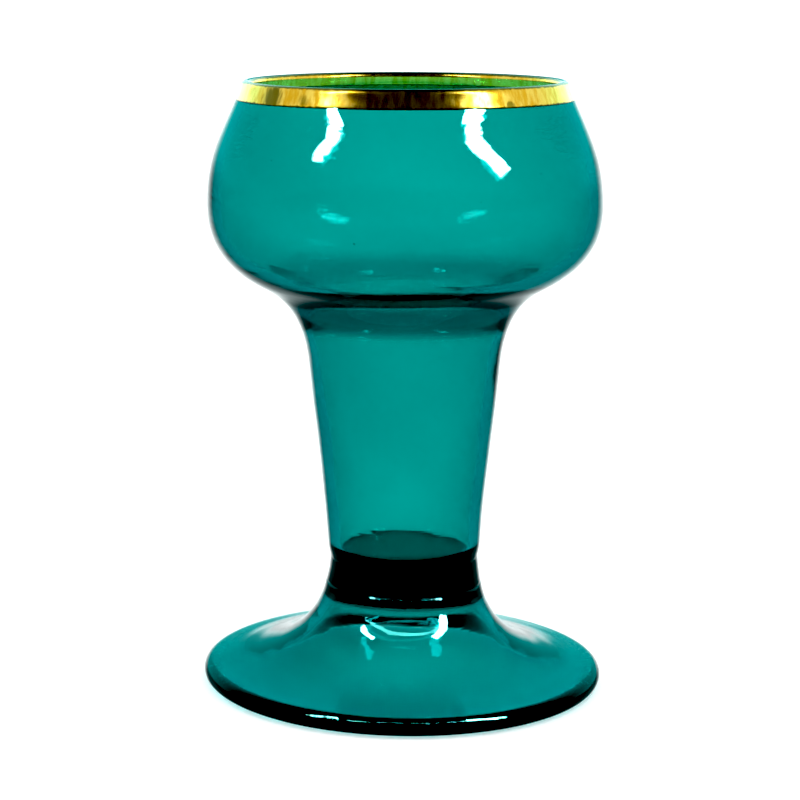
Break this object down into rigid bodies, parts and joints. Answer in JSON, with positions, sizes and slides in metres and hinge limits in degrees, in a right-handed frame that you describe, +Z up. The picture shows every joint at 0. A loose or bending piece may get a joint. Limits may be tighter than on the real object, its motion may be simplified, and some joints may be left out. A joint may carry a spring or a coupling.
{
  "type": "stemmed roemer wine glass",
  "caption": "Blown teal glass with a globe bowl on a hollow tapered stem, a solid joining post, a spread hollow foot and gold bands outside and inside the lip.",
  "frame": {"origin": "centre of the resting plane of the foot, on the axis of the foot", "axes": "+Z up, along the axis of the foot; the bowl and stem lean 0.9 degrees from it towards -X"},
  "size_m": [0.086, 0.086, 0.1298],
  "materials": {
    "teal_glass": "fire-polished hand-blown glass, coloured through",
    "fired_gold": "burnished fired gold film, rubbed thin along its edges"
  },
  "bodies": {
    "root": {"bowl_and_stem": "teal_glass", "joining_post": "teal_glass", "foot": "teal_glass", "gilt_band_outside": "fired_gold", "gilt_band_inside": "fired_gold"}
  },
  "joints": []
}
